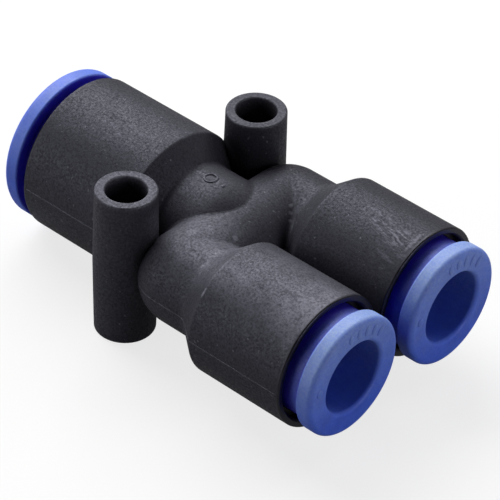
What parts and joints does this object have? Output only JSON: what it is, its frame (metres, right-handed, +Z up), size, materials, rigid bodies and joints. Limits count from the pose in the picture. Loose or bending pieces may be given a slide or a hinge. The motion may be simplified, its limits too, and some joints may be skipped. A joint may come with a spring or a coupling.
{
  "type": "tubing y connector",
  "caption": "Reducing Y tube connector with push-in ports, sliding release sleeves and side bosses for screws.",
  "frame": {"origin": "midway between the two mounting holes, on the mould's parting plane", "axes": "+X towards the two small ports, along every tube axis; +Y towards the right small port; +Z up, along the mounting holes"},
  "size_m": [0.0495, 0.0306, 0.018],
  "materials": {
    "body_plastic": "black glass-filled polyester with a fine spark-eroded texture",
    "sleeve_plastic": "blue acetal, satin",
    "guide_brass": "nickel-plated drawn brass",
    "claw_steel": "bright stainless spring sheet",
    "spacer_plastic": "natural acetal",
    "seal_rubber": "black nitrile, lightly greased"
  },
  "bodies": {
    "body": {"body": "body_plastic", "large_guide_ring": "guide_brass", "large_claw_ring": "claw_steel", "large_spacer_ring": "spacer_plastic", "large_o_ring": "seal_rubber", "left_guide_ring": "guide_brass", "left_claw_ring": "claw_steel", "left_spacer_ring": "spacer_plastic", "left_o_ring": "seal_rubber", "right_guide_ring": "guide_brass", "right_claw_ring": "claw_steel", "right_spacer_ring": "spacer_plastic", "right_o_ring": "seal_rubber"},
    "large_sleeve": {"large_release_sleeve": "sleeve_plastic"},
    "left_sleeve": {"left_release_sleeve": "sleeve_plastic"},
    "right_sleeve": {"right_release_sleeve": "sleeve_plastic"}
  },
  "joints": [
    {"name": "large_sleeve_press", "type": "slide", "parent": "body", "child": "large_sleeve", "axis": [1, 0, 0], "range_m": [0, 0.0012], "stiffness_N_per_m": 150},
    {"name": "left_sleeve_press", "type": "slide", "parent": "body", "child": "left_sleeve", "axis": [-1, 0, 0], "range_m": [0, 0.0012], "stiffness_N_per_m": 150},
    {"name": "right_sleeve_press", "type": "slide", "parent": "body", "child": "right_sleeve", "axis": [-1, 0, 0], "range_m": [0, 0.0012], "stiffness_N_per_m": 150}
  ]
}
